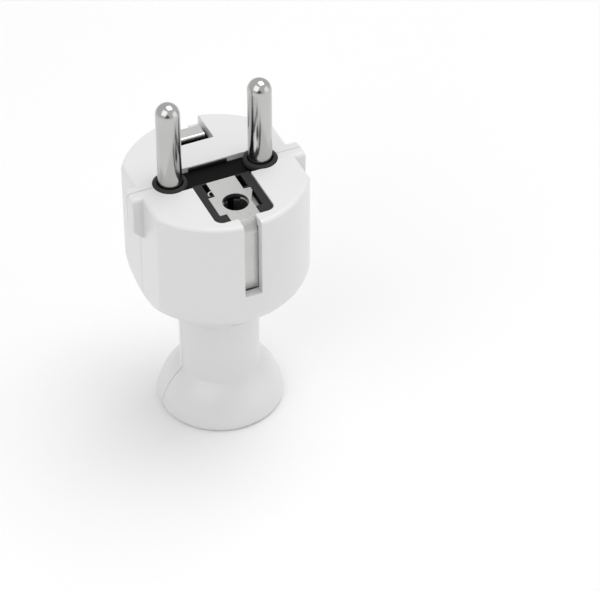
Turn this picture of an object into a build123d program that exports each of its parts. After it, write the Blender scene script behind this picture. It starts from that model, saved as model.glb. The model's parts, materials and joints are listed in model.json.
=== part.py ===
from build123d import *
import os
from math import radians, sqrt, tan

# Two-pole plug with side earth contacts and an earth socket, rewirable, in millimetres.
# It stands on the flared end of its handle with the pins up. The origin is the middle of
# the flared base on the floor, X runs along the line of the pins and -Y is the front half.

# Pins
pin_dia = 4.8
pin_spacing = 19.0
pin_length = 19.0
pin_root_dia = 5.2
pin_fit = 0.05

# Housing outside
face_z = 58.0
body_dia = 37.0
rim_radius = 0.9
pin_to_flat = 6.6
shoulder_angle = 45.0
shoulder_blend = 5.0
neck_dia = 16.4
neck_top = 24.0
neck_blend = 0.6
flare_top = 9.3
flare_blend = 0.8
bell_dia = 23.4
bell_z = 5.2
foot_dia = 26.2
foot_lip = 1.0
foot_land = 0.6
dish_dia = 14.4
dish_depth = 1.3
dish_bow = 0.2
throat_dia = 9.0
throat_start = 3.0

# Guide keys on the two flats
key_width = 4.6
key_foot_z = 48.0
key_slope = 1.0
key_edge = 0.4

# Housing walls
side_wall = 1.9
neck_wall = 2.0
face_wall = 2.2
parting_gap = 0.12
moulding_gap = 0.1

# Opening in the face
collar_dia = 7.0
bridge_back = 3.0
bridge_front = 3.3
stem_width = 12.3
stem_recess = 3.0
stem_corner = 1.7
tab_front = 1.45
left_tab_near = 5.1
left_tab_far = 7.0
right_tab_near = 3.45
right_tab_far = 7.0

# Slots for the side contacts and the notch in the rear edge
slot_width = 3.6
slot_bottom = 40.4
notch_width = 7.65
notch_front = 9.85
notch_drop = 2.6

# Ribs inside the housing
ledge_z = 4.2
cord_rib_bore = 9.2
cord_rib_thickness = 1.0
cord_rib_pitch = 4.5
cord_rib_count = 4
carrier_rib_depth = 2.7
carrier_rib_y = 7.6
carrier_rib_thickness = 1.6
carrier_rib_bottom = 36.0

# Catch between the halves
catch_z = 28.9
catch_height = 1.4
catch_half_width = 5.8
catch_arm = 1.2
catch_reach = 8.2
catch_lip_width = 4.4
catch_lip_drop = 1.3
catch_lip_thickness = 0.6
keeper_thickness = 1.0
keeper_height = 1.1
release_width = 5.0
release_height = 1.3
release_z = 28.0

# Pin carrier
flange_thickness = 2.4
head_drop = 0.4
bridge_drop = 1.1
collar_rise = 0.35
collar_edge = 0.5
tower_half_width = 4.4
tower_depth = 9.8
tower_bottom = 41.0
barrier_thickness = 1.6
well_wall = 1.1
well_bottom = 41.9
pocket_near = 3.1
pocket_far = 4.1
pocket_back = 2.8
pocket_front = 6.5
pocket_depth = 3.6
peg_dia = 1.4
peg_inset = 1.1

# Terminals on the pins
barrel_dia = 7.0
barrel_top = 52.0
wire_bore_dia = 3.4
wire_bore_depth = 8.0
terminal_screw_dia = 3.1
terminal_head_dia = 4.8
terminal_head_height = 1.7
terminal_screw_z = 45.8
terminal_flat = 3.1
terminal_screw_reach = 0.4
thread_gap = 0.05
head_gap = 0.3
driver_slot_width = 0.6
driver_slot_depth = 0.7

# Plate under the terminals
retainer_thickness = 1.0
wire_entry_dia = 3.8

# Earth contacts, bent from sheet
sheet = 0.9
earth_x = 0.0
earth_y = -10.0
earth_hole_dia = 5.2
plate_drop = 0.5
plate_back = 2.45
plate_step_back = 6.9
plate_step_front = 12.7
plate_narrow = 6.0
plate_wide = 8.8
wing_corner = 7.9
wing_end = 10.6
strip_width = 3.4
strip_recess = 1.9
strip_shoulder_z = 54.8
shoulder_run = 1.3
plate_lap = 1.5
bend_radius = 0.8
shoulder_bend = 2.0
rear_tab_width = 5.8
rear_tab_front = 12.1
rear_tab_edge = 0.5
rear_pad_inset = 0.6
foot_tab_width = 5.6
foot_tab_length = 4.9
foot_tab_start = 8.6
foot_level = 39.9

# Sleeve spring under the earth hole, with a collar plate
sleeve_bore_dia = 4.84
sleeve_sheet = 0.5
collar_plate_left = 3.5
collar_plate_right = 4.3
collar_plate_back = 8.2
collar_plate_front = 12.5
sleeve_gap = 1.4
sleeve_bottom = 43.0
sleeve_play = 0.25

# Strap, rivets and earth terminal
bridge_thickness = 1.2
bridge_width = 6.0
bridge_length = 25.0
rivet_y = 10.6
rivet_dia = 2.5
rivet_head_dia = 4.2
rivet_head_height = 0.7
earth_screw_dia = 3.7
earth_head_dia = 6.4
earth_head_height = 1.8
earth_screw_length = 3.0
washer_side = 7.0
washer_thickness = 1.0
washer_corner = 0.8

# Cord clamp
clamp_z = 30.5
clamp_height = 4.5
clamp_bore = 8.6
clamp_thickness = 2.2
clamp_end = 2.4
clamp_seat = 0.6
clamp_screw_x = 8.8
clamp_screw_dia = 2.9
clamp_screw_length = 9.0
clamp_head_dia = 5.0
clamp_head_height = 1.8
boss_dia = 6.4
cradle_thickness = 2.0

# Grommet in the throat
grommet_thickness = 2.0
grommet_slit_length = 6.5
grommet_slit_width = 0.3
grommet_play = 0.1

# Places worked out from the sizes above
body_r = body_dia / 2
neck_r = neck_dia / 2
pin_x = pin_spacing / 2
flat_x = pin_x + pin_to_flat
key_rise = body_r - flat_x
rim_blend = min(rim_radius, key_rise / 2)
foot_r = foot_dia / 2
land_r = foot_r - foot_lip - foot_land
slope = tan(radians(shoulder_angle))
cone_top = neck_top + (body_r - neck_r) / slope
body_in_r = body_r - side_wall
flat_in_x = flat_x - side_wall
stem_front = body_r - stem_recess
neck_in_r = neck_r - neck_wall
cavity_top = face_z - face_wall
cone_shift = neck_wall * sqrt(1 + slope ** 2) / slope
cone_in_bottom = neck_top + (neck_in_r - neck_r) / slope + cone_shift
cone_in_top = neck_top + (body_in_r - neck_r) / slope + cone_shift
flange_top = cavity_top - moulding_gap
flange_bottom = flange_top - flange_thickness
head_top = face_z - head_drop
bridge_top = face_z - bridge_drop
plate_top = face_z - plate_drop
plate_seat = plate_top - sheet
strip_face = body_r - strip_recess
strip_start = strip_face - shoulder_run
strip_back = strip_face - sheet
strip_middle = strip_face - sheet / 2
earth_hole_r = earth_hole_dia / 2
sleeve_r = sleeve_bore_dia / 2
well_r = sleeve_r + sleeve_sheet + sleeve_play
collar_plate_seat = plate_seat - sleeve_sheet
clamp_length = 2 * (clamp_screw_x + clamp_end)
retainer_bottom = tower_bottom - retainer_thickness
bridge_bottom = foot_level - bridge_thickness
washer_bottom = bridge_bottom - washer_thickness
foot_middle = foot_level + sheet / 2
rib_starts = [ledge_z + grommet_thickness + moulding_gap + cord_rib_pitch * i for i in range(cord_rib_count)]
tower_half_depth = tower_depth / 2
peg_places = [
    (side * (pin_x + along * (tower_half_width - peg_inset)), across * (tower_half_depth - peg_inset))
    for side in (-1, 1)
    for along in (1,)
    for across in (-1, 1)
]

os.makedirs("parts", exist_ok=True)


def stem_outline(inset):
    """Draw the stem of the opening from the earth plate's back, in the active sketch."""
    half = stem_width / 2 - inset
    front = stem_front - inset
    with BuildSketch(mode=Mode.PRIVATE) as stem:
        with Locations((0, -(front + plate_back) / 2)):
            Rectangle(2 * half, front - plate_back)
        fillet(stem.vertices().group_by(Axis.Y)[0], stem_corner)
    add(stem.sketch)


def face_opening(inset):
    """Draw the T-shaped opening of the face, smaller by inset all round, in the active sketch."""
    bridge_depth = bridge_front + bridge_back - 2 * inset
    with Locations((0, (bridge_back - bridge_front) / 2)):
        Rectangle(pin_spacing, bridge_depth)
    stem_outline(inset)
    left_middle = -(left_tab_near + left_tab_far) / 2
    right_middle = (right_tab_near + right_tab_far) / 2
    tab_middle = tab_front + (bridge_back + 1) / 2
    with Locations((left_middle, tab_middle - inset)):
        Rectangle(left_tab_far - left_tab_near + 2 * inset, bridge_back + 1, mode=Mode.SUBTRACT)
    with Locations((right_middle, tab_middle - inset)):
        Rectangle(right_tab_far - right_tab_near + 2 * inset, bridge_back + 1, mode=Mode.SUBTRACT)
    with Locations((-pin_x, 0), (pin_x, 0)):
        Circle(collar_dia / 2 - inset)


def plate_outline(margin):
    """Draw the stepped outline of the earth plate, larger by margin, in the active sketch."""
    narrow_length = stem_front - plate_back
    with Locations((earth_x, -(stem_front + plate_back) / 2)):
        Rectangle(plate_narrow + 2 * margin, narrow_length + 2 * margin)
    wide_length = plate_step_front - plate_step_back
    with Locations((earth_x, -(plate_step_front + plate_step_back) / 2)):
        Rectangle(plate_wide + 2 * margin, wide_length + 2 * margin)


def collar_plate_outline(margin):
    """Draw the collar plate of the sleeve spring, larger by margin, in the active sketch."""
    middle_x = (collar_plate_right - collar_plate_left) / 2
    middle_y = -(collar_plate_front + collar_plate_back) / 2
    with Locations((middle_x, middle_y)):
        Rectangle(
            collar_plate_left + collar_plate_right + 2 * margin,
            collar_plate_front - collar_plate_back + 2 * margin,
        )


# Cutter for the two side flats, which leaves the guide keys standing
with BuildPart() as flat_cutter:
    flat_reach = body_r + 1 - flat_x
    with BuildSketch(Plane.XY.offset(neck_top)):
        with Locations((flat_x + flat_reach / 2, 0)):
            Rectangle(flat_reach, body_dia)
    extrude(amount=face_z - neck_top + 1)
    with BuildSketch(Plane.XZ):
        with BuildLine():
            Polyline(
                (flat_x - 1, key_foot_z - 1),
                (flat_x, key_foot_z),
                (flat_x + flat_reach + 1, key_foot_z + (flat_reach + 1) * key_slope),
                (flat_x + flat_reach + 1, face_z + 2),
                (flat_x - 1, face_z + 2),
                close=True,
            )
        make_face()
    extrude(amount=key_width / 2, both=True, mode=Mode.SUBTRACT)
    mirror(about=Plane.YZ)

# Closed outer form of the housing: body, sloping shoulder, neck and bell-mouthed foot
with BuildPart() as housing:
    with BuildSketch(Plane.XZ):
        with BuildLine():
            FilletPolyline(
                (0, face_z),
                (body_r, face_z),
                (body_r, cone_top),
                (neck_r, neck_top),
                (neck_r, flare_top),
                radius=[0, shoulder_blend, neck_blend],
            )
            ThreePointArc((neck_r, flare_top), (bell_dia / 2, bell_z), (foot_r, foot_lip))
            CenterArc((foot_r - foot_lip, foot_lip), foot_lip, 0, -90)
            Line((foot_r - foot_lip, 0), (land_r, 0))
            ThreePointArc(
                (land_r, 0),
                ((land_r + dish_dia / 2) / 2, dish_depth / 2 + dish_bow),
                (dish_dia / 2, dish_depth),
            )
            Spline(
                (dish_dia / 2, dish_depth),
                (throat_dia / 2, throat_start),
                tangents=[(-1, 0.35), (0, 1)],
                tangent_scalars=[0.7, 0.7],
            )
            Polyline((throat_dia / 2, throat_start), (0, throat_start), (0, face_z))
        make_face()
        fillet(vertices().sort_by_distance((neck_r, flare_top))[0], flare_blend)
    revolve(axis=Axis.Z)
    add(flat_cutter.part, mode=Mode.SUBTRACT)
    key_edges = edges().filter_by(Axis.Z).filter_by_position(Axis.Y, -key_width / 2, key_width / 2)
    fillet(key_edges, key_edge)
    fillet(edges().group_by(Axis.Z)[-1], rim_blend)

# Space inside the housing, with the cord ribs and the ribs under the carrier left out of it
with BuildPart() as cavity:
    with BuildSketch(Plane.XZ):
        with BuildLine():
            Polyline(
                (0, ledge_z),
                (neck_in_r, ledge_z),
                (neck_in_r, cone_in_bottom),
                (body_in_r, cone_in_top),
                (body_in_r, cavity_top),
                (0, cavity_top),
                close=True,
            )
        make_face()
    revolve(axis=Axis.Z)
    with BuildSketch():
        Rectangle(2 * flat_in_x, body_dia)
    extrude(amount=face_z, mode=Mode.INTERSECT)
    for rib_start in rib_starts:
        with BuildSketch(Plane.XY.offset(rib_start)):
            Circle(neck_r)
            Circle(cord_rib_bore / 2, mode=Mode.SUBTRACT)
        extrude(amount=cord_rib_thickness, mode=Mode.SUBTRACT)
    with BuildSketch(Plane.XY.offset(carrier_rib_bottom)):
        rib_x = flat_in_x - carrier_rib_depth / 2 + 0.5
        with GridLocations(2 * rib_x, 2 * carrier_rib_y, 2, 2):
            Rectangle(carrier_rib_depth + 1, carrier_rib_thickness)
    extrude(amount=flange_bottom - moulding_gap - carrier_rib_bottom, mode=Mode.SUBTRACT)
    with BuildSketch(Plane.XY.offset(-1)):
        Circle(throat_dia / 2)
    extrude(amount=ledge_z + 1)

# Everything that opens through the wall: face, contact slots and rear notch
with BuildPart() as windows:
    with BuildSketch(Plane.XY.offset(cavity_top - 0.5)):
        face_opening(0)
    extrude(amount=face_wall + 1.5)
    slot_reach = body_r + 1 - stem_front
    with BuildSketch(Plane.XY.offset(slot_bottom)):
        with GridLocations(0, 2 * (stem_front + slot_reach / 2), 1, 2):
            Rectangle(slot_width, slot_reach)
    extrude(amount=face_z + 1 - slot_bottom)
    notch_reach = body_r + 1 - notch_front
    with BuildSketch(Plane.XY.offset(face_z - notch_drop)):
        with Locations((0, notch_front + notch_reach / 2)):
            Rectangle(notch_width, notch_reach)
    extrude(amount=notch_drop + 1)
    inner_reach = sqrt(body_in_r ** 2 - (notch_width / 2) ** 2) - notch_front
    with BuildSketch(Plane.XY.offset(cavity_top - 0.5)):
        with Locations((0, notch_front + inner_reach / 2)):
            Rectangle(notch_width, inner_reach)
    extrude(amount=face_wall + 1.5)

# Space of the front half, which leaves a keeper bar for the catch across it
keeper_back = catch_reach - catch_lip_thickness - moulding_gap
keeper_top = catch_z - moulding_gap
with BuildPart() as front_space:
    add(cavity.part)
    with BuildSketch(Plane.XY.offset(keeper_top - keeper_height)):
        with Locations((0, -keeper_back + keeper_thickness / 2)):
            Rectangle(body_dia, keeper_thickness)
    extrude(amount=keeper_height, mode=Mode.SUBTRACT)

with BuildPart() as front_shell:
    add(housing.part)
    add(front_space.part, mode=Mode.SUBTRACT)
    add(windows.part, mode=Mode.SUBTRACT)
    with BuildSketch(Plane.XZ.offset(catch_reach + 2 * catch_lip_thickness)):
        with Locations((0, release_z)):
            Rectangle(release_width, release_height)
    extrude(amount=body_r, mode=Mode.SUBTRACT)
    split(bisect_by=Plane.XZ.offset(parting_gap / 2), keep=Keep.TOP)

# Space of the rear half, which leaves the clamp bosses and the cord cradle
clamp_middle_z = clamp_z + clamp_height / 2
with BuildPart() as rear_space:
    add(cavity.part)
    with BuildSketch(Plane.XZ.offset(-clamp_seat)):
        with Locations((-clamp_screw_x, clamp_middle_z), (clamp_screw_x, clamp_middle_z)):
            Circle(boss_dia / 2)
            Circle(clamp_screw_dia / 2 + thread_gap, mode=Mode.SUBTRACT)
        with Locations((0, clamp_middle_z)):
            Rectangle(2 * clamp_screw_x - boss_dia * 0.9, cradle_thickness)
    extrude(amount=-body_r, mode=Mode.SUBTRACT)
    with BuildSketch(Plane.XY.offset(clamp_z)):
        with Locations((0, clamp_seat)):
            Circle(clamp_bore / 2)
    extrude(amount=clamp_height)

with BuildPart() as rear_shell:
    add(housing.part)
    add(rear_space.part, mode=Mode.SUBTRACT)
    add(windows.part, mode=Mode.SUBTRACT)
    split(bisect_by=Plane.XZ.offset(-parting_gap / 2), keep=Keep.BOTTOM)
    # Catch: two arms reach round the cord to a bar whose lip drops in front of the keeper
    catch_root = sqrt((catch_z - cone_in_bottom + neck_in_r) ** 2 - catch_half_width ** 2) + 1
    with BuildSketch(Plane.XY.offset(catch_z)):
        with Locations((0, (catch_root - catch_reach) / 2)):
            Rectangle(2 * catch_half_width, catch_root + catch_reach)
            Rectangle(2 * (catch_half_width - catch_arm), catch_root + catch_reach, mode=Mode.SUBTRACT)
        with Locations((0, -catch_reach + catch_arm / 2)):
            Rectangle(2 * catch_half_width, catch_arm)
    extrude(amount=catch_height)
    with BuildSketch(Plane.XY.offset(catch_z)):
        with Locations((0, -catch_reach + catch_lip_thickness / 2)):
            Rectangle(catch_lip_width, catch_lip_thickness)
    extrude(amount=-catch_lip_drop)

# Black insert: flange under the face wall, head in the opening, towers round the terminals
channel_start = strip_back - bend_radius - 2 * moulding_gap
with BuildPart() as pin_carrier:
    with BuildSketch(Plane.XY.offset(flange_bottom)):
        Circle(body_in_r - 2 * moulding_gap)
        Rectangle(2 * (flat_in_x - 2 * moulding_gap), 2 * (strip_back - moulding_gap), mode=Mode.INTERSECT)
    extrude(amount=flange_thickness)
    # The bridge between the pins lies lower than the frame round the earth plate
    with BuildSketch(Plane.XY.offset(flange_top)):
        face_opening(moulding_gap)
    extrude(amount=bridge_top - flange_top)
    with BuildSketch(Plane.XY.offset(bridge_top)):
        stem_outline(moulding_gap)
    extrude(amount=head_top - bridge_top)
    with BuildSketch(Plane.XY.offset(bridge_top)):
        with Locations((-pin_x, 0), (pin_x, 0)):
            Circle(collar_dia / 2 - moulding_gap)
    extrude(amount=face_z + collar_rise - bridge_top)
    # Pad under the tab of the rear earth contact
    pad_front = rear_tab_front + rear_pad_inset
    pad_depth = channel_start - pad_front
    with BuildSketch(Plane.XY.offset(flange_top)):
        with Locations((0, pad_front + pad_depth / 2)):
            Rectangle(rear_tab_width - 2 * rear_pad_inset, pad_depth)
    extrude(amount=plate_seat - flange_top)
    collar_rims = edges().filter_by(GeomType.CIRCLE).group_by(Axis.Z)[-1]
    fillet(collar_rims, collar_edge)
    # Seat of the earth plate and the deep pockets beside its narrow end
    with BuildSketch(Plane.XY.offset(plate_seat)):
        plate_outline(moulding_gap)
    extrude(amount=sheet + plate_drop + 1, mode=Mode.SUBTRACT)
    with BuildSketch(Plane.XY.offset(collar_plate_seat)):
        collar_plate_outline(moulding_gap)
    extrude(amount=sleeve_sheet, mode=Mode.SUBTRACT)
    pocket_width = pocket_far - pocket_near
    with BuildSketch(Plane.XY.offset(face_z - pocket_depth)):
        with Locations((0, -(pocket_front + pocket_back) / 2)):
            with GridLocations(pocket_near + pocket_far, 0, 2, 1):
                Rectangle(pocket_width, pocket_front - pocket_back)
    extrude(amount=pocket_depth, mode=Mode.SUBTRACT)
    # Towers, earth well and the barrier between the poles
    with BuildSketch(Plane.XY.offset(tower_bottom)):
        with GridLocations(pin_spacing, 0, 2, 1):
            RectangleRounded(2 * tower_half_width, tower_depth, peg_inset)
        Rectangle(pin_spacing - 2 * tower_half_width + 1, barrier_thickness)
    extrude(amount=flange_bottom - tower_bottom)
    with BuildSketch(Plane.XY.offset(well_bottom)):
        with Locations((earth_x, earth_y)):
            Circle(well_r + well_wall)
        with Locations((0, earth_y / 2)):
            Rectangle(barrier_thickness, -earth_y)
    extrude(amount=flange_bottom - well_bottom)
    with BuildSketch(Plane.XY.offset(well_bottom)):
        with Locations((earth_x, earth_y)):
            Circle(well_r)
    extrude(amount=plate_seat - well_bottom, mode=Mode.SUBTRACT)
    with BuildSketch(Plane.XY.offset(retainer_bottom)):
        with Locations(*peg_places):
            Circle(peg_dia / 2)
    extrude(amount=retainer_thickness)
    # Channels for the two side strips and their bends
    channel_reach = strip_face - channel_start
    with BuildSketch(Plane.XY.offset(well_bottom)):
        with GridLocations(0, 2 * channel_start + channel_reach, 1, 2):
            Rectangle(slot_width, channel_reach)
    extrude(amount=face_z - well_bottom, mode=Mode.SUBTRACT)
    # Pin holes, barrel pockets and the windows in front of the terminal screws
    with BuildSketch(Plane.XY.offset(tower_bottom)):
        with Locations((-pin_x, 0), (pin_x, 0)):
            Circle(pin_root_dia / 2 + pin_fit)
    extrude(amount=face_z + 1 - tower_bottom, mode=Mode.SUBTRACT)
    with BuildSketch(Plane.XY.offset(tower_bottom)):
        with Locations((-pin_x, 0), (pin_x, 0)):
            Circle(barrel_dia / 2 + moulding_gap)
    extrude(amount=barrel_top + moulding_gap - tower_bottom, mode=Mode.SUBTRACT)
    with BuildSketch(Plane.XZ):
        with Locations((-pin_x, terminal_screw_z), (pin_x, terminal_screw_z)):
            Circle(terminal_head_dia / 2 + head_gap)
    extrude(amount=tower_depth, mode=Mode.SUBTRACT)

# Pins, turned in one piece with their wire barrels
with BuildPart() as right_pin:
    tip_z = face_z + pin_length
    with BuildSketch(Plane.XZ):
        with BuildLine():
            Polyline(
                (pin_x, tip_z),
                (pin_x, tower_bottom),
                (pin_x + barrel_dia / 2, tower_bottom),
                (pin_x + barrel_dia / 2, barrel_top),
                (pin_x + pin_root_dia / 2, barrel_top),
                (pin_x + pin_root_dia / 2, face_z),
                (pin_x + pin_dia / 2, face_z + collar_rise + pin_fit),
                (pin_x + pin_dia / 2, tip_z - pin_dia / 2),
            )
            CenterArc((pin_x, tip_z - pin_dia / 2), pin_dia / 2, 0, 90)
        make_face()
    revolve(axis=Axis((pin_x, 0, 0), (0, 0, 1)))
    with BuildSketch(Plane.XZ.offset(terminal_flat)):
        with Locations((pin_x, terminal_screw_z)):
            Circle(terminal_head_dia / 2 + head_gap)
    extrude(amount=barrel_dia, mode=Mode.SUBTRACT)
    with BuildSketch(Plane.XY.offset(tower_bottom)):
        with Locations((pin_x, 0)):
            Circle(wire_bore_dia / 2)
    extrude(amount=wire_bore_depth, mode=Mode.SUBTRACT)
    with BuildSketch(Plane.XZ):
        with Locations((pin_x, terminal_screw_z)):
            Circle(terminal_screw_dia / 2 + thread_gap)
    extrude(amount=barrel_dia, mode=Mode.SUBTRACT)

with BuildPart() as left_pin:
    add(right_pin.part.mirror(Plane.YZ))

# Slotted screws that press the wires in the barrels
with BuildPart() as right_terminal_screw:
    head_seat = terminal_flat + moulding_gap
    with BuildSketch(Plane.XZ.offset(terminal_screw_reach)):
        with Locations((pin_x, terminal_screw_z)):
            Circle(terminal_screw_dia / 2)
    extrude(amount=head_seat - terminal_screw_reach)
    with BuildSketch(Plane.XZ.offset(head_seat)):
        with Locations((pin_x, terminal_screw_z)):
            Circle(terminal_head_dia / 2)
    extrude(amount=terminal_head_height)
    with BuildSketch(Plane.XZ.offset(head_seat + terminal_head_height - driver_slot_depth)):
        with Locations((pin_x, terminal_screw_z)):
            Rectangle(terminal_head_dia + 1, driver_slot_width)
    extrude(amount=driver_slot_depth, mode=Mode.SUBTRACT)

with BuildPart() as left_terminal_screw:
    add(right_terminal_screw.part.mirror(Plane.YZ))

# Insulating plate that closes the towers and holds the pins up
with BuildPart() as pin_retainer:
    with BuildSketch(Plane.XY.offset(retainer_bottom)):
        RectangleRounded(pin_spacing + 2 * tower_half_width, tower_depth, peg_inset)
        with Locations((-pin_x, 0), (pin_x, 0)):
            Circle(wire_entry_dia / 2, mode=Mode.SUBTRACT)
        Circle(earth_screw_dia / 2 + head_gap, mode=Mode.SUBTRACT)
        with Locations(*peg_places):
            Circle(peg_dia / 2 + thread_gap, mode=Mode.SUBTRACT)
    extrude(amount=retainer_thickness)


def foot_outline(side):
    """Draw the riveted foot tab of a side contact, on the front (-1) or rear (1) side."""
    with Locations((0, side * (foot_tab_start + foot_tab_length / 2))):
        RectangleRounded(foot_tab_width, foot_tab_length, bend_radius)
    with Locations((0, side * rivet_y)):
        Circle(rivet_dia / 2 + thread_gap, mode=Mode.SUBTRACT)


# Front earth contact: plate, bend over the edge, side strip and foot tab
with BuildPart() as front_earth_contact:
    with BuildLine(Plane.YZ) as front_line:
        FilletPolyline(
            (-(strip_start - plate_lap), plate_seat + sheet / 2),
            (-strip_start, plate_seat + sheet / 2),
            (-strip_middle, strip_shoulder_z),
            (-strip_middle, foot_middle),
            (-(foot_tab_start + foot_tab_length - bend_radius), foot_middle),
            radius=[bend_radius, shoulder_bend, bend_radius],
        )
    with BuildSketch(Plane(front_line.line @ 0, x_dir=(1, 0, 0), z_dir=front_line.line % 0)):
        Rectangle(strip_width, sheet)
    sweep()
    with BuildSketch(Plane.XY.offset(plate_seat)):
        plate_outline(0)
    extrude(amount=sheet)
    with BuildSketch(Plane.XY.offset(plate_seat)):
        with Locations((earth_x, earth_y)):
            Circle(earth_hole_r)
        with BuildLine():
            Polyline(
                (plate_wide / 2, -wing_corner),
                (plate_narrow / 2, -wing_end),
                (plate_narrow / 2, -plate_step_front),
                (plate_wide / 2 + 1, -plate_step_front),
                (plate_wide / 2 + 1, -wing_corner),
                close=True,
            )
        make_face()
    extrude(amount=sheet, mode=Mode.SUBTRACT)
    with BuildSketch(Plane.XY.offset(foot_level)):
        foot_outline(-1)
    extrude(amount=sheet)

# Rear earth contact: wide tab and shoulder in the notch, then the same strip and foot
with BuildPart() as rear_earth_contact:
    with BuildLine(Plane.YZ) as rear_line:
        FilletPolyline(
            (rear_tab_front, plate_seat + sheet / 2),
            (strip_start, plate_seat + sheet / 2),
            (strip_middle, strip_shoulder_z),
            (strip_middle, foot_middle),
            (foot_tab_start + foot_tab_length - bend_radius, foot_middle),
            radius=[bend_radius, shoulder_bend, bend_radius],
        )
    with BuildSketch(Plane(rear_line.line @ 0, x_dir=(1, 0, 0), z_dir=rear_line.line % 0)):
        Rectangle(rear_tab_width, sheet)
    sweep()
    fillet(edges().filter_by(Axis.X).group_by(Axis.Y)[0].sort_by(Axis.Z)[-1], rear_tab_edge)
    strip_trim = (rear_tab_width - strip_width) / 2
    with BuildSketch(Plane.XY.offset(foot_level)):
        with Locations((0, foot_tab_start + body_r / 2)):
            with GridLocations(strip_width + strip_trim, 0, 2, 1):
                Rectangle(strip_trim, body_r)
    extrude(amount=flange_top + moulding_gap - foot_level, mode=Mode.SUBTRACT)
    with BuildSketch(Plane.XY.offset(foot_level)):
        foot_outline(1)
    extrude(amount=sheet)

# Sleeve spring under the earth hole, rolled with a gap at the back, and its collar plate
with BuildPart() as earth_socket_spring:
    with BuildSketch(Plane.XY.offset(sleeve_bottom)):
        with Locations((earth_x, earth_y)):
            Circle(sleeve_r + sleeve_sheet)
            Circle(sleeve_r, mode=Mode.SUBTRACT)
        with Locations((earth_x, earth_y + sleeve_r)):
            Rectangle(sleeve_gap, sleeve_r, mode=Mode.SUBTRACT)
    extrude(amount=collar_plate_seat - sleeve_bottom)
    with BuildSketch(Plane.XY.offset(collar_plate_seat)):
        collar_plate_outline(0)
        with Locations((earth_x, earth_y)):
            Circle(sleeve_r, mode=Mode.SUBTRACT)
    extrude(amount=sleeve_sheet)

# Strap between the two foot tabs
with BuildPart() as earth_bridge:
    with BuildSketch(Plane.XY.offset(bridge_bottom)):
        RectangleRounded(bridge_width, bridge_length, bridge_width / 4)
        Circle(earth_screw_dia / 2 + thread_gap, mode=Mode.SUBTRACT)
        with Locations((0, -rivet_y), (0, rivet_y)):
            Circle(rivet_dia / 2 + thread_gap, mode=Mode.SUBTRACT)
    extrude(amount=bridge_thickness)


# Rivets with two domed heads, through the foot tabs and the strap
with BuildPart() as front_rivet:
    tab_top = foot_level + sheet
    dome_r = ((rivet_head_dia / 2) ** 2 + rivet_head_height ** 2) / (2 * rivet_head_height)
    dome_x = rivet_head_dia / 4
    dome_rise = sqrt(dome_r ** 2 - dome_x ** 2) - dome_r + rivet_head_height
    with BuildSketch(Plane.XZ.offset(rivet_y)):
        with BuildLine():
            ThreePointArc(
                (0, tab_top + rivet_head_height),
                (dome_x, tab_top + dome_rise),
                (rivet_head_dia / 2, tab_top),
            )
            Polyline(
                (rivet_head_dia / 2, tab_top),
                (rivet_dia / 2, tab_top),
                (rivet_dia / 2, bridge_bottom),
                (rivet_head_dia / 2, bridge_bottom),
            )
            ThreePointArc(
                (rivet_head_dia / 2, bridge_bottom),
                (dome_x, bridge_bottom - dome_rise),
                (0, bridge_bottom - rivet_head_height),
            )
            Line((0, bridge_bottom - rivet_head_height), (0, tab_top + rivet_head_height))
        make_face()
    revolve(axis=Axis((0, -rivet_y, 0), (0, 0, 1)))

with BuildPart() as rear_rivet:
    add(front_rivet.part.mirror(Plane.XZ))

# Earth terminal: square washer and slotted screw from below
with BuildPart() as earth_clamp_washer:
    with BuildSketch(Plane.XY.offset(washer_bottom)):
        RectangleRounded(washer_side, washer_side, washer_corner)
        Circle(earth_screw_dia / 2 + moulding_gap, mode=Mode.SUBTRACT)
    extrude(amount=washer_thickness)

with BuildPart() as earth_terminal_screw:
    with BuildSketch(Plane.XY.offset(washer_bottom)):
        Circle(earth_screw_dia / 2)
    extrude(amount=earth_screw_length)
    with BuildSketch(Plane.XY.offset(washer_bottom)):
        Circle(earth_head_dia / 2)
    extrude(amount=-earth_head_height)
    with BuildSketch(Plane.XY.offset(washer_bottom - earth_head_height)):
        Rectangle(earth_head_dia + 1, driver_slot_width)
    extrude(amount=driver_slot_depth, mode=Mode.SUBTRACT)

# Saddle over the cord, and its two screws into the rear half
with BuildPart() as cord_clamp:
    with BuildSketch(Plane.XY.offset(clamp_z)):
        with Locations((0, clamp_seat)):
            Circle(clamp_bore / 2 + clamp_thickness)
        with Locations((0, clamp_seat - clamp_thickness / 2)):
            Rectangle(clamp_length, clamp_thickness)
        with Locations((0, clamp_seat)):
            Circle(clamp_bore / 2, mode=Mode.SUBTRACT)
        with Locations((0, clamp_seat + clamp_bore)):
            Rectangle(clamp_length, 2 * clamp_bore, mode=Mode.SUBTRACT)
    extrude(amount=clamp_height)
    with BuildSketch(Plane.XZ.offset(-clamp_seat)):
        with Locations((-clamp_screw_x, clamp_middle_z), (clamp_screw_x, clamp_middle_z)):
            Circle(clamp_screw_dia / 2 + moulding_gap)
    extrude(amount=clamp_thickness, mode=Mode.SUBTRACT)

with BuildPart() as right_clamp_screw:
    clamp_face = clamp_thickness - clamp_seat
    with BuildSketch(Plane.XZ.offset(clamp_face)):
        with Locations((clamp_screw_x, clamp_middle_z)):
            Circle(clamp_head_dia / 2)
    extrude(amount=clamp_head_height)
    with BuildSketch(Plane.XZ.offset(clamp_face)):
        with Locations((clamp_screw_x, clamp_middle_z)):
            Circle(clamp_screw_dia / 2)
    extrude(amount=-clamp_screw_length)
    with BuildSketch(Plane.XZ.offset(clamp_face + clamp_head_height - driver_slot_depth)):
        with Locations((clamp_screw_x, clamp_middle_z)):
            Rectangle(driver_slot_width, clamp_head_dia + 1)
    extrude(amount=driver_slot_depth, mode=Mode.SUBTRACT)

with BuildPart() as left_clamp_screw:
    add(right_clamp_screw.part.mirror(Plane.YZ))

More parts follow.
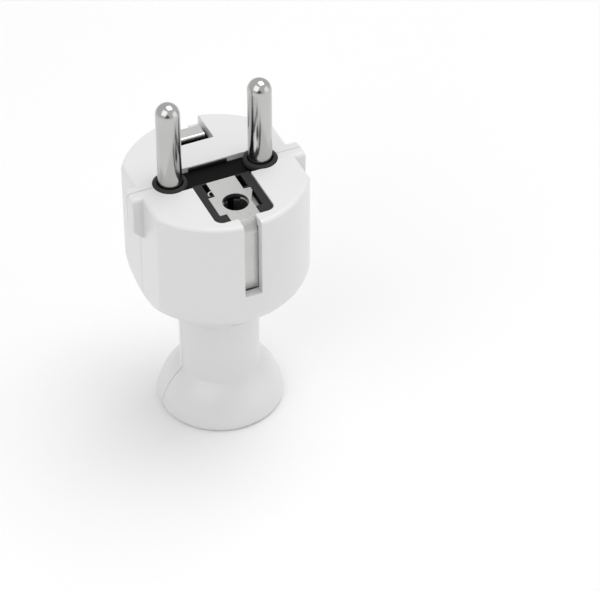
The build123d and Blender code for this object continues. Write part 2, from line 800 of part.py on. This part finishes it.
# Slit disc in the throat
with BuildPart() as cord_grommet:
    with BuildSketch(Plane.XY.offset(ledge_z)):
        Circle(neck_in_r - grommet_play)
        Rectangle(grommet_slit_length, grommet_slit_width, mode=Mode.SUBTRACT)
    extrude(amount=grommet_thickness)

pieces = {
    "front_shell": front_shell,
    "rear_shell": rear_shell,
    "pin_carrier": pin_carrier,
    "left_pin": left_pin,
    "right_pin": right_pin,
    "left_terminal_screw": left_terminal_screw,
    "right_terminal_screw": right_terminal_screw,
    "pin_retainer": pin_retainer,
    "front_earth_contact": front_earth_contact,
    "rear_earth_contact": rear_earth_contact,
    "earth_socket_spring": earth_socket_spring,
    "earth_bridge": earth_bridge,
    "front_rivet": front_rivet,
    "rear_rivet": rear_rivet,
    "earth_clamp_washer": earth_clamp_washer,
    "earth_terminal_screw": earth_terminal_screw,
    "cord_clamp": cord_clamp,
    "left_clamp_screw": left_clamp_screw,
    "right_clamp_screw": right_clamp_screw,
    "cord_grommet": cord_grommet,
}

for name, piece in pieces.items():
    piece.part.label = name
    export_step(piece.part, f"parts/{name}.step")
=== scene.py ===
"""Looks of a two-pin mains plug with side earth contacts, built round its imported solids.

The plug stands on the flared end of its handle, pins up. The white two-part housing, the black
insert and the metal parts keep the shapes of the solids, and each gets its finish here.
Lengths are metres where nothing else is said, in the frame of the solids: +Z up, X along the
pins, -Y the front.
"""

import json
import logging
from dataclasses import dataclass, field
from enum import Enum
from typing import Any, Sequence

import bpy
import numpy as np
from mathutils import Matrix, Vector

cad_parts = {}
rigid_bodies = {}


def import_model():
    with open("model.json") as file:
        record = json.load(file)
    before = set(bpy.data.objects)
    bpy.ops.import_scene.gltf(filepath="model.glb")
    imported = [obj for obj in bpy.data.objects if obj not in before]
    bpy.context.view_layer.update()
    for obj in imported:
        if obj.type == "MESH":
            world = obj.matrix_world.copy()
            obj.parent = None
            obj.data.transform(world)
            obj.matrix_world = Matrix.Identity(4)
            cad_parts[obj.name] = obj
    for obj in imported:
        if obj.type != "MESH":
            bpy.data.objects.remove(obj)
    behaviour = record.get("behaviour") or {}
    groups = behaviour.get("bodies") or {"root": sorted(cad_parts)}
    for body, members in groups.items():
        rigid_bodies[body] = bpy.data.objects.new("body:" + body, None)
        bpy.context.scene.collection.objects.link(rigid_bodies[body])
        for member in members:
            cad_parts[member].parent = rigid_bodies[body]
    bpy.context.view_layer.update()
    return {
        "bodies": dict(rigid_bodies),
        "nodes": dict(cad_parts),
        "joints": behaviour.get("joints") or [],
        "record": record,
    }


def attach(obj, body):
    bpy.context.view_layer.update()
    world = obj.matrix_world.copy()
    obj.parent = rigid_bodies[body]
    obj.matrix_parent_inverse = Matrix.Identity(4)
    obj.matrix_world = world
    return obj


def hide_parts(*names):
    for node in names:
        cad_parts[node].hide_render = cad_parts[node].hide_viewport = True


Triple = tuple[float, float, float]

LOG = logging.getLogger("plug")
MM = 0.001
BODY = "root"
# Detail of the noise that makes grain, rings and rolled lines
FINE_DETAIL = 2.0
# Places of the two colour inputs and of the colour output on a Mix node
MIX_FIRST, MIX_SECOND, MIX_RESULT = 6, 7, 2
# Corners of a block's six faces, turned outwards
BLOCK_FACES = np.array(
    [(0, 2, 3, 1), (4, 5, 7, 6), (0, 1, 5, 4), (2, 6, 7, 3), (0, 4, 6, 2), (1, 3, 7, 5)]
)


class Operation(Enum):
    """What a Math node does with its two values."""

    ADD = "ADD"
    SUBTRACT = "SUBTRACT"
    MULTIPLY = "MULTIPLY"


class Signal:
    """A shader socket that takes part in arithmetic, each sign adding one Math node."""

    def __init__(self, graph: "Graph", socket: bpy.types.NodeSocket) -> None:
        """Keep the graph and the output socket."""
        self.graph = graph
        self.socket = socket

    def _join(self, operation: Operation, first: Any, second: Any) -> "Signal":
        """Return one Math node's output for two operands."""
        settings = {"operation": operation.value}
        return self.graph.node("ShaderNodeMath", settings, {0: first, 1: second})

    def __add__(self, other: Any) -> "Signal":
        """Return this plus other."""
        return self._join(Operation.ADD, self, other)

    def __radd__(self, other: Any) -> "Signal":
        """Return other plus this."""
        return self._join(Operation.ADD, other, self)

    def __sub__(self, other: Any) -> "Signal":
        """Return this minus other."""
        return self._join(Operation.SUBTRACT, self, other)

    def __rsub__(self, other: Any) -> "Signal":
        """Return other minus this."""
        return self._join(Operation.SUBTRACT, other, self)

    def __mul__(self, other: Any) -> "Signal":
        """Return this times other."""
        return self._join(Operation.MULTIPLY, self, other)

    def __rmul__(self, other: Any) -> "Signal":
        """Return other times this."""
        return self._join(Operation.MULTIPLY, other, self)


class Graph:
    """The node tree of one material, with one way to add a node."""

    def __init__(self, name: str) -> None:
        """Make an empty material.

        Args:
            name: the material's name.
        """
        self.material = bpy.data.materials.new(name)
        self.material.use_nodes = True
        self.tree = self.material.node_tree
        self.tree.nodes.clear()
        self.coordinates = self.node("ShaderNodeTexCoord", {}, {}, "Object")

    def node(
        self,
        kind: str,
        settings: dict[str, Any],
        inputs: dict[int | str, Any],
        output: int | str = 0,
    ) -> Signal:
        """Add one node.

        Args:
            kind: the node's type name.
            settings: attributes that are set first.
            inputs: sockets by name or number, each a value or a Signal.
            output: the output socket that the result stands for.

        Returns:
            The chosen output as a Signal.
        """
        made = self.tree.nodes.new(kind)
        for name, value in settings.items():
            setattr(made, name, value)
        for key, value in inputs.items():
            if isinstance(value, Signal):
                self.tree.links.new(value.socket, made.inputs[key])
            else:
                made.inputs[key].default_value = value
        return Signal(self, made.outputs[output])

    def noise(self, scale: Triple, detail: float = 3.0) -> Signal:
        """Add noise over the object's coordinates.

        Args:
            scale: how many grains lie along one metre of each axis.
            detail: how many finer layers the noise has.

        Returns:
            The noise, from 0 to 1.
        """
        ruler = {"Vector": self.coordinates, "Scale": scale}
        place = self.node("ShaderNodeMapping", {}, ruler)
        settings = {"noise_dimensions": "3D"}
        inputs = {"Vector": place, "Scale": 1.0, "Detail": detail}
        return self.node("ShaderNodeTexNoise", settings, inputs, "Fac")

    def blend(self, share: Signal, first: Sequence[float], second: Sequence[float]) -> Signal:
        """Return a colour that runs from first to second as share goes from 0 to 1."""
        inputs = {"Factor": share, MIX_FIRST: (*first, 1.0), MIX_SECOND: (*second, 1.0)}
        return self.node("ShaderNodeMix", {"data_type": "RGBA"}, inputs, MIX_RESULT)

    def height(self, start: float, end: float) -> Signal:
        """Add a measure of height.

        Args:
            start: the Z at which the share is 0.
            end: the Z at which the share is 1.

        Returns:
            The share, which stays at 0 below the start and at 1 above the end.
        """
        level = self.node("ShaderNodeSeparateXYZ", {}, {"Vector": self.coordinates}, "Z")
        limits = {"Value": level, "From Min": start, "From Max": end}
        return self.node("ShaderNodeMapRange", {}, limits, "Result")

    def relief(self, height: Signal, depth: float) -> Signal:
        """Return a normal bent by a height map whose full swing is depth metres."""
        inputs = {"Height": height, "Distance": depth, "Strength": 1.0}
        return self.node("ShaderNodeBump", {}, inputs)

    def surface(self, **sockets: Any) -> bpy.types.Material:
        """Finish the material with one Principled shader.

        Args:
            sockets: values or Signals of the shader's sockets, with _ for a space in a name.

        Returns:
            The finished material.
        """
        named = {key.replace("_", " "): value for key, value in sockets.items()}
        shader = self.node("ShaderNodeBsdfPrincipled", {}, named)
        end = self.tree.nodes.new("ShaderNodeOutputMaterial")
        self.tree.links.new(shader.socket, end.inputs["Surface"])
        return self.material


@dataclass(frozen=True)
class MouldedPlastic:
    """Moulded plastic: even colour with slow drift, faint grain and a satin skin.

    A scale counts the grains of a noise along one metre, and grain is the depth of the finest.
    The roughness swings about its value by the given share of it.
    """

    name: str
    colour: Triple
    drift: float
    roughness: float
    coat: float
    grain: float
    gloss: float = 0.5
    coat_roughness: float = 0.25
    swing: float = 0.2
    drift_scale: float = 70.0
    patch_scale: float = 330.0
    grain_scale: float = 2800.0

    def tint(self, graph: Graph) -> Signal:
        """Colour the plastic.

        Args:
            graph: the material's node tree.

        Returns:
            The colour, which darkens by the share of drift where the slow noise is full.
        """
        slow = graph.noise((self.drift_scale,) * 3)
        darker = tuple(c * (1.0 - self.drift) for c in self.colour)
        return graph.blend(slow, self.colour, darker)

    def material(self) -> bpy.types.Material:
        """Make the material.

        Returns:
            The plastic, with roughness as a patchy noise and grain as a fine one.
        """
        graph = Graph(self.name)
        fine = graph.noise((self.grain_scale,) * 3, FINE_DETAIL)
        patch = graph.noise((self.patch_scale,) * 3)
        reach = self.swing * self.roughness
        return graph.surface(
            Base_Color=self.tint(graph),
            Roughness=patch * reach + (self.roughness - reach / 2),
            Coat_Weight=self.coat,
            Coat_Roughness=self.coat_roughness,
            Specular_IOR_Level=self.gloss,
            Normal=graph.relief(fine, self.grain),
        )


@dataclass(frozen=True)
class SheenTopPlastic(MouldedPlastic):
    """Moulded plastic whose highest faces are painted paler than the faces below them, a painted
    sheen of the light that falls on the top.
    """

    # the paler colour of the highest faces, a painted sheen
    painted_light_colour: Triple = (0.036, 0.036, 0.037)
    sheen_from: float = 57.3 * MM
    sheen_to: float = 57.5 * MM

    def tint(self, graph: Graph) -> Signal:
        """Return the colour, which turns paler between the two levels as a painted sheen on the top
        faces.
        """
        rise = graph.height(self.sheen_from, self.sheen_to)
        return graph.blend(rise, self.colour, self.painted_light_colour)


@dataclass(frozen=True)
class TurnedNickel:
    """Nickel plate on a turned pin: rings round the axis and a soft polish.

    Rings and clouds give the grains of a noise along one metre of each axis, and the rings are
    drawn out round Z. Each adds its own swing to the roughness, about the value given.
    """

    name: str
    colour: Triple
    roughness: float
    ring_depth: float
    rings: Triple = (60.0, 60.0, 8000.0)
    clouds: Triple = (260.0, 260.0, 120.0)
    ring_swing: float = 0.10
    cloud_swing: float = 0.08
    dulled: float = 0.86

    def material(self) -> bpy.types.Material:
        """Make the material.

        Returns:
            The plate, which is duller where the clouds are full.
        """
        graph = Graph(self.name)
        ring = graph.noise(self.rings, FINE_DETAIL)
        cloud = graph.noise(self.clouds)
        worn = tuple(c * self.dulled for c in self.colour)
        smoothest = self.roughness - (self.ring_swing + self.cloud_swing) / 2
        return graph.surface(
            Base_Color=graph.blend(cloud, self.colour, worn),
            Metallic=1.0,
            Roughness=ring * self.ring_swing + cloud * self.cloud_swing + smoothest,
            Normal=graph.relief(ring, self.ring_depth),
        )


@dataclass(frozen=True)
class SheetMetal:
    """Rolled sheet: fine lines along the way that it was rolled.

    Lines give the grains of a noise along one metre of each axis, few along the rolling, and
    depth is how deep they are. Lines and clouds swing the roughness about the value given.
    """

    name: str
    colour: Triple
    roughness: float
    lines: Triple
    depth: float = 0.003 * MM
    cloud_scale: float = 400.0
    line_swing: float = 0.16
    cloud_swing: float = 0.08
    dulled: float = 0.8

    def tint(self, graph: Graph, streaks: Signal) -> Signal:
        """Return the colour, duller where the streaks are full."""
        dull = tuple(c * self.dulled for c in self.colour)
        return graph.blend(streaks, self.colour, dull)

    def material(self) -> bpy.types.Material:
        """Make the material.

        Returns:
            The sheet, whose streaks are the mean of its lines and clouds.
        """
        graph = Graph(self.name)
        drawn = graph.noise(self.lines, FINE_DETAIL)
        cloud = graph.noise((self.cloud_scale,) * 3)
        smoothest = self.roughness - (self.line_swing + self.cloud_swing) / 2
        return graph.surface(
            Base_Color=self.tint(graph, (cloud + drawn) * 0.5),
            Metallic=1.0,
            Roughness=drawn * self.line_swing + cloud * self.cloud_swing + smoothest,
            Normal=graph.relief(drawn, self.depth),
        )


@dataclass(frozen=True)
class ShadedSideContact(SheetMetal):
    """Sheet whose upright side strips are painted darker than its top, a painted shade of the
    strips.
    """

    # the darker colour of the side strips below the top, a painted shade
    painted_light_colour: Triple = (0.56, 0.56, 0.55)
    shade_below: float = 56.0 * MM
    unshaded_above: float = 57.0 * MM
    streaking: float = 0.5

    def tint(self, graph: Graph, streaks: Signal) -> Signal:
        """Return the colour, painted darker below the lower level as shade on the side strips, full
        above the upper level, and duller in the streaks.
        """
        share = graph.height(self.shade_below, self.unshaded_above) - streaks * self.streaking
        return graph.blend(share, self.painted_light_colour, self.colour)


@dataclass(frozen=True)
class SoftRubber:
    """Grey rubber with a dusty, grainy skin, rougher and paler where the dust is full."""

    name: str
    colour: Triple
    roughness: float = 0.6
    swing: float = 0.15
    dusted: float = 1.35
    grain: float = 0.03 * MM
    dust_scale: float = 800.0
    grain_scale: float = 5200.0

    def material(self) -> bpy.types.Material:
        """Make the material.

        Returns:
            The rubber, with dust as a coarse noise and grain as a fine one.
        """
        graph = Graph(self.name)
        dust = graph.noise((self.dust_scale,) * 3)
        grain = graph.noise((self.grain_scale,) * 3, FINE_DETAIL)
        pale = tuple(min(1.0, c * self.dusted) for c in self.colour)
        return graph.surface(
            Base_Color=graph.blend(dust, self.colour, pale),
            Roughness=dust * self.swing + self.roughness,
            Normal=graph.relief(grain, self.grain),
        )


@dataclass
class Finishes:
    """Every finish of the plug, made once."""

    shell: bpy.types.Material = field(init=False)
    insert: bpy.types.Material = field(init=False)
    pin: bpy.types.Material = field(init=False)
    contact: bpy.types.Material = field(init=False)
    sleeve: bpy.types.Material = field(init=False)
    steel: bpy.types.Material = field(init=False)
    brass: bpy.types.Material = field(init=False)
    rubber: bpy.types.Material = field(init=False)

    def __post_init__(self) -> None:
        """Build the materials."""
        self.shell = MouldedPlastic(
            "white_shell",
            (0.72, 0.724, 0.721),
            drift=0.02,
            roughness=0.33,
            coat=0.2,
            grain=0.004 * MM,
        ).material()
        # the insert's highest faces get a painted sheen
        self.insert = SheenTopPlastic(
            "black_insert",
            (0.006, 0.006, 0.0065),
            drift=0.0,
            roughness=0.42,
            coat=0.0,
            grain=0.01 * MM,
            gloss=0.05,
        ).material()
        self.pin = TurnedNickel("nickel_pin", (0.56, 0.558, 0.55), 0.17, 0.0015 * MM).material()
        rolled_upright = (2600.0, 400.0, 120.0)
        rolled_across = (1800.0, 160.0, 900.0)
        unrolled = (900.0, 900.0, 900.0)
        # the earth contacts' side strips carry a painted shade below their tops
        self.contact = ShadedSideContact(
            "nickel_sheet", (0.76, 0.76, 0.75), 0.30, rolled_upright
        ).material()
        # the sleeve's darker colour is a painted shade of the earth hole
        self.sleeve = SheetMetal("spring_painted_shade", (0.42, 0.42, 0.41), 0.38, rolled_upright).material()
        self.steel = SheetMetal("zinc_steel", (0.60, 0.60, 0.61), 0.32, unrolled).material()
        self.brass = SheetMetal("brass_strip", (0.72, 0.52, 0.24), 0.32, rolled_across).material()
        self.rubber = SoftRubber("grey_rubber", (0.20, 0.20, 0.205)).material()


@dataclass(frozen=True)
class Block:
    """A box between two corners, in millimetres."""

    low: Triple
    high: Triple

    def corners(self) -> np.ndarray:
        """Return the eight corners in metres; bit n of a corner's number is 1 on its high side."""
        share = np.arange(8)[:, None] >> np.arange(3) & 1
        return (np.array(self.low) * (1 - share) + np.array(self.high) * share) * MM


def placed(name: str, data: bpy.types.ID) -> bpy.types.Object:
    """Make an object that stands at the origin.

    Args:
        name: the object's name.
        data: its mesh, camera or light.

    Returns:
        The object, linked to the scene.
    """
    made = bpy.data.objects.new(name, data)
    bpy.context.collection.objects.link(made)
    return made


def block_object(name: str, blocks: Sequence[Block]) -> bpy.types.Object:
    """Make one object of boxes.

    Args:
        name: the object's name.
        blocks: the boxes, each a closed shell of its own.

    Returns:
        The object, whose faces are the six of a block, moved on by eight corners a block.
    """
    corners = np.concatenate([block.corners() for block in blocks])
    faces = 8 * np.arange(len(blocks))[:, None, None] + BLOCK_FACES
    mesh = bpy.data.meshes.new(name)
    mesh.from_pydata(corners.tolist(), [], faces.reshape(-1, 4).tolist())
    return placed(name, mesh)


@dataclass(frozen=True)
class SmoothCopy:
    """A copy of a solid whose curved faces shade smoothly and whose edges stay crisp.

    The solid's loose triangles are joined at shared corners. An edge stays crisp where its two
    faces turn by more than the crease angle, in degrees, and flat faces keep their own normals
    by area. An edge radius above 0 rounds the crisp edges, in the given number of segments.
    """

    node: str
    edge: float = 0.0
    cuts: tuple[Block, ...] = ()
    crease: float = 28.5
    join: float = 1e-7
    segments: int = 2

    def make(self, frame: dict[str, Any], material: bpy.types.Material) -> bpy.types.Object:
        """Stand the copy in for the solid.

        Args:
            material: the copy's finish.

        Returns:
            The copy, which rides on the plug's body.
        """
        mesh = self.joined(frame["nodes"][self.node].data)
        piece = placed(mesh.name, mesh)
        if self.cuts:
            mesh = self.cut(piece)
        mesh.shade_smooth()
        mesh.set_sharp_from_angle(angle=np.radians(self.crease))
        mesh.materials.append(material)
        if self.edge:
            rounded = piece.modifiers.new("rounded", "BEVEL")
            rounded.width = self.edge
            rounded.segments = self.segments
            rounded.limit_method = "ANGLE"
            rounded.angle_limit = np.radians(self.crease)
            rounded.harden_normals = False
        weighted = piece.modifiers.new("weighted", "WEIGHTED_NORMAL")
        weighted.keep_sharp = True
        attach(piece, BODY)
        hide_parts(self.node)
        return piece

    def joined(self, source: bpy.types.Mesh) -> bpy.types.Mesh:
        """Join a solid's loose triangles.

        A corner's cell is its place over the joining distance, in whole numbers. Corners of
        one cell become the first of them, and a triangle with two corners in one cell goes.

        Args:
            source: the solid's mesh, which stays as it is.

        Returns:
            A new mesh of the joined triangles.
        """
        corners = np.empty(len(source.vertices) * 3)
        source.vertices.foreach_get("co", corners)
        corners = corners.reshape(-1, 3)
        faces = np.empty(len(source.loops), dtype=np.int64)
        source.loops.foreach_get("vertex_index", faces)
        cells = np.round(corners / self.join).astype(np.int64)
        _, first, cell_of = np.unique(cells, axis=0, return_index=True, return_inverse=True)
        faces = cell_of.reshape(-1)[faces].reshape(-1, 3)
        whole = (faces != np.roll(faces, 1, axis=1)).all(axis=1)
        mesh = bpy.data.meshes.new(f"{self.node}_skin")
        mesh.from_pydata(corners[first].tolist(), [], faces[whole].tolist())
        return mesh

    def cut(self, piece: bpy.types.Object) -> bpy.types.Mesh:
        """Take the cuts out of a piece.

        Args:
            piece: the object, whose mesh is exchanged for the cut one.

        Returns:
            The cut mesh.
        """
        cutter = block_object("cutter", self.cuts)
        taken = piece.modifiers.new("cut", "BOOLEAN")
        taken.operation = "DIFFERENCE"
        taken.solver = "EXACT"
        taken.object = cutter
        evaluated = piece.evaluated_get(bpy.context.evaluated_depsgraph_get())
        piece.data = bpy.data.meshes.new_from_object(evaluated)
        piece.modifiers.clear()
        bpy.data.objects.remove(cutter)
        return piece.data


@dataclass(frozen=True)
class CurledEar:
    """The ear of the sleeve spring that curls up beside the earth plate and stands on its edge.

    Angles are degrees, from +X towards +Y about the centre of the curl.
    """

    name: str = "earth_spring_ear"
    centre: tuple[float, float] = (-3.12 * MM, -5.95 * MM)
    radius: float = 0.82 * MM
    sheet: float = 0.26 * MM
    start: float = 80.0
    end: float = 215.0
    low: float = 56.2 * MM
    high: float = 57.45 * MM
    steps: int = 24
    crease: float = 45.0

    def make(self, material: bpy.types.Material) -> bpy.types.Object:
        """Sweep the sheet's section round the curl.

        The section is a rectangle of four corners, at the radius less or plus half the sheet
        and at the low or the high level. Each step turns it on, and a corner's x and y are the
        centre's plus its reach times the cosine and the sine of the turn. The first and last
        sections close the ends.

        Args:
            material: the ear's finish.

        Returns:
            The ear as a closed mesh that rides on the plug's body.
        """
        turn = np.radians(np.linspace(self.start, self.end, self.steps + 1))
        side = np.array((-1.0, 1.0, 1.0, -1.0))
        level = np.array((self.low, self.low, self.high, self.high))
        reach = self.radius + side * self.sheet / 2
        x = self.centre[0] + np.outer(np.cos(turn), reach)
        y = self.centre[1] + np.outer(np.sin(turn), reach)
        points = np.stack((x, y, np.broadcast_to(level, x.shape)), axis=-1).reshape(-1, 3)
        ring = np.arange(4)
        near = 4 * np.arange(self.steps)[:, None] + ring
        far = 4 * np.arange(self.steps)[:, None] + (ring + 1) % 4
        walls = np.stack((near, near + 4, far + 4, far), axis=-1).reshape(-1, 4)
        caps = [ring.tolist(), (ring[::-1] + 4 * self.steps).tolist()]
        mesh = bpy.data.meshes.new(self.name)
        mesh.from_pydata(points.tolist(), [], walls.tolist() + caps)
        mesh.shade_smooth()
        mesh.set_sharp_from_angle(angle=np.radians(self.crease))
        mesh.materials.append(material)
        ear = placed(self.name, mesh)
        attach(ear, BODY)
        return ear


@dataclass(frozen=True)
class Assembly:
    """A group of pieces with one finish and one edge radius, each a smooth copy of its solid."""

    finish: bpy.types.Material
    names: tuple[str, ...] = ()
    edge: float = 0.0

    def cuts(self, name: str) -> tuple[Block, ...]:
        """Return what is cut from the copy of a node, in most groups nothing."""
        return ()

    def build(self, frame: dict[str, Any]) -> list[bpy.types.Object]:
        """Make and return the group's pieces."""
        copies = [SmoothCopy(name, self.edge, self.cuts(name)) for name in self.names]
        return [copy.make(frame, self.finish) for copy in copies]


@dataclass(frozen=True)
class Housing(Assembly):
    """The two white shells and the cord clamp between them.

    The rear shell loses its two tabs, so that the rear edge of the face opening is straight.
    """

    names: tuple[str, ...] = ("front_shell", "rear_shell", "cord_clamp")
    tabs_of: str = "rear_shell"
    tabs: tuple[Block, ...] = (
        Block((-7.9, 1.3, 55.6), (-5.0, 3.02, 58.2)),
        Block((3.35, 1.3, 55.6), (7.9, 3.02, 58.2)),
    )

    def cuts(self, name: str) -> tuple[Block, ...]:
        """Return the tabs for the shell that has them."""
        return self.tabs if name == self.tabs_of else ()


@dataclass(frozen=True)
class Insert(Assembly):
    """The black pin carrier, the plate under its terminals and black blocks at the rear edge of the
    face opening, which are painted shade.
    """

    names: tuple[str, ...] = ("pin_carrier", "pin_retainer")
    shade_blocks_name: str = "pin_carrier_painted_shade"
    # black blocks where the tabs stood and a thin black sheet over the white rear wall: painted
    # shade at the rear edge of the face opening
    shade_blocks: tuple[Block, ...] = (
        Block((-7.0, 1.3, 55.6), (-5.0, 2.95, 56.87)),
        Block((3.3, 1.3, 55.6), (7.0, 2.95, 56.87)),
        Block((-4.5, 2.75, 56.5), (3.6, 2.93, 57.75)),
    )

    def build(self, frame: dict[str, Any]) -> list[bpy.types.Object]:
        """Make the pieces, with black blocks that stand in for the shade at the rear edge of the
        face opening.

        Returns:
            The pieces, the painted-shade blocks last.
        """
        shade_blocks = block_object(self.shade_blocks_name, self.shade_blocks)
        shade_blocks.data.materials.append(self.finish)
        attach(shade_blocks, BODY)
        return [*super().build(frame), shade_blocks]


@dataclass(frozen=True)
class Pins(Assembly):
    """The two contact pins, each turned in one with its terminal barrel."""

    names: tuple[str, ...] = ("left_pin", "right_pin")


@dataclass(frozen=True)
class EarthContacts(Assembly):
    """The two bent earth contacts at the front and rear of the body."""

    names: tuple[str, ...] = ("front_earth_contact", "rear_earth_contact")
    edge: float = 0.1 * MM


@dataclass(frozen=True)
class EarthSocket(Assembly):
    """The sleeve spring under the earth hole, painted darker than the plate above it as shade of
    the hole, and its ear.
    """

    names: tuple[str, ...] = ("earth_socket_spring",)
    edge: float = 0.08 * MM
    ear: CurledEar = CurledEar()
    # the ear takes the plate's finish: a painted highlight on the curl
    ear_highlight_finish: bpy.types.Material = field(kw_only=True)

    def build(self, frame: dict[str, Any]) -> list[bpy.types.Object]:
        """Make and return the sleeve and the curled ear, which takes the plate's paler finish as a
        painted highlight.
        """
        return [*super().build(frame), self.ear.make(self.ear_highlight_finish)]


@dataclass(frozen=True)
class Fasteners(Assembly):
    """Terminal, earth and clamp screws, and the washer under the earth screw."""

    names: tuple[str, ...] = (
        "left_terminal_screw",
        "right_terminal_screw",
        "earth_clamp_washer",
        "earth_terminal_screw",
        "left_clamp_screw",
        "right_clamp_screw",
    )


@dataclass(frozen=True)
class BrassWork(Assembly):
    """The strap between the earth contacts and its two rivets."""

    names: tuple[str, ...] = ("earth_bridge", "front_rivet", "rear_rivet")


@dataclass(frozen=True)
class CordEntry(Assembly):
    """The slit rubber disc in the throat."""

    names: tuple[str, ...] = ("cord_grommet",)


@dataclass(frozen=True)
class Lamp:
    """A square lamp that faces the plug: its middle, its side and its power in watts."""

    name: str
    place: Triple
    side: float
    power: float
    aim: Triple = (0.0, 0.0, 0.03)

    def hang(self) -> None:
        """Hang the lamp, turned from its place towards its aim."""
        data = bpy.data.lights.new(self.name, "AREA")
        data.shape = "SQUARE"
        data.size = self.side
        data.energy = self.power
        place = Vector(self.place)
        turn = (Vector(self.aim) - place).to_track_quat("-Z", "Y")
        placed(self.name, data).matrix_world = Matrix.Translation(place) @ turn.to_matrix().to_4x4()


@dataclass(frozen=True)
class Studio:
    """Pale floor, white surroundings, soft lights and the camera of the photograph.

    The eye and the sensor are millimetres. Right, up and back are the camera's axes.
    """

    eye: Triple = (-164.7, -405.9, 408.0)
    right: Triple = (0.91184, -0.41055, 0.0)
    up: Triple = (0.27007, 0.59984, 0.75317)
    back: Triple = (-0.30921, -0.68677, 0.65783)
    focal_px: float = 2881.8
    image_px: float = 600.0
    sensor: float = 36.0
    clip_start: float = 0.01
    clip_end: float = 50.0
    floor_side: float = 8.0
    floor_tone: float = 0.88
    floor_drift: float = 0.01
    floor_scale: float = 3.0
    floor_roughness: float = 0.9
    sky: float = 0.71
    patch_way: Triple = (-0.4066, -0.9030, 0.1392)
    patch_outer: float = 0.90
    patch_inner: float = 0.97
    patch_tone: float = 0.15
    view_transform: str = "Standard"
    lamps: tuple[Lamp, ...] = (
        Lamp("overhead", (0.27, 0.07, 0.87), side=0.6, power=2.9),
        Lamp("left fill", (-0.52, -0.29, 0.6), side=0.7, power=1.6),
        Lamp("right fill", (0.6, -0.45, 0.2), side=0.6, power=0.75),
    )

    def camera(self) -> None:
        """Place the camera; its lens is focal_px * sensor / image_px millimetres."""
        data = bpy.data.cameras.new("camera")
        data.sensor_width = self.sensor
        data.lens = self.focal_px * self.sensor / self.image_px
        data.clip_start = self.clip_start
        data.clip_end = self.clip_end
        camera = placed("camera", data)
        turn = Matrix((self.right, self.up, self.back)).transposed()
        camera.matrix_world = Matrix.Translation(Vector(self.eye) * MM) @ turn.to_4x4()
        bpy.context.scene.camera = camera

    def floor(self) -> None:
        """Lay the floor, one square about the plug whose tone drifts slowly."""
        half = self.floor_side / 2
        corners = [(-half, -half, 0), (half, -half, 0), (half, half, 0), (-half, half, 0)]
        mesh = bpy.data.meshes.new("floor")
        mesh.from_pydata(corners, [], [(0, 1, 2, 3)])
        graph = Graph("floor")
        pale = (self.floor_tone,) * 3
        dim = (self.floor_tone * (1.0 - self.floor_drift),) * 3
        tone = graph.blend(graph.noise((self.floor_scale,) * 3), pale, dim)
        mesh.materials.append(graph.surface(Base_Color=tone, Roughness=self.floor_roughness))
        sheet = placed("floor", mesh)

    def surroundings(self) -> None:
        """Light the scene from a white world with a darker patch low behind the camera.

        The patch begins where a direction's dot product with patch_way reaches patch_outer, and
        is at its darkest from patch_inner on. Both are cosines of its half angles.
        """
        world = bpy.data.worlds.new("world")
        bpy.context.scene.world = world
        world.use_nodes = True
        nodes, links = world.node_tree.nodes, world.node_tree.links
        place = nodes.new("ShaderNodeTexCoord")
        dot = nodes.new("ShaderNodeVectorMath")
        dot.operation = "DOT_PRODUCT"
        dot.inputs[1].default_value = self.patch_way
        fade = nodes.new("ShaderNodeMapRange")
        fade.inputs["From Min"].default_value = self.patch_outer
        fade.inputs["From Max"].default_value = self.patch_inner
        fade.inputs["To Min"].default_value = self.sky
        fade.inputs["To Max"].default_value = self.sky * self.patch_tone
        links.new(place.outputs["Generated"], dot.inputs[0])
        links.new(dot.outputs["Value"], fade.inputs["Value"])
        links.new(fade.outputs["Result"], nodes["Background"].inputs["Strength"])
        nodes["Background"].inputs["Color"].default_value = (1.0, 1.0, 1.0, 1.0)

    def build(self) -> None:
        """Set up the whole studio."""
        bpy.context.scene.view_settings.view_transform = self.view_transform
        self.camera()
        self.floor()
        self.surroundings()
        for lamp in self.lamps:
            lamp.hang()
        LOG.info("studio ready")


def main() -> None:
    """Build the plug's looks and the studio round its solids."""
    logging.basicConfig(level=logging.INFO, format="%(name)s: %(message)s")
    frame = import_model()
    finishes = Finishes()
    assemblies = (
        Housing(finishes.shell),
        Insert(finishes.insert),
        Pins(finishes.pin),
        EarthContacts(finishes.contact),
        EarthSocket(finishes.sleeve, ear_highlight_finish=finishes.contact),
        Fasteners(finishes.steel),
        BrassWork(finishes.brass),
        CordEntry(finishes.rubber),
    )
    for assembly in assemblies:
        for piece in assembly.build(frame):
            LOG.info("%s: %d faces", piece.name, len(piece.data.polygons))
    Studio().build()


if __name__ == "__main__":
    main()
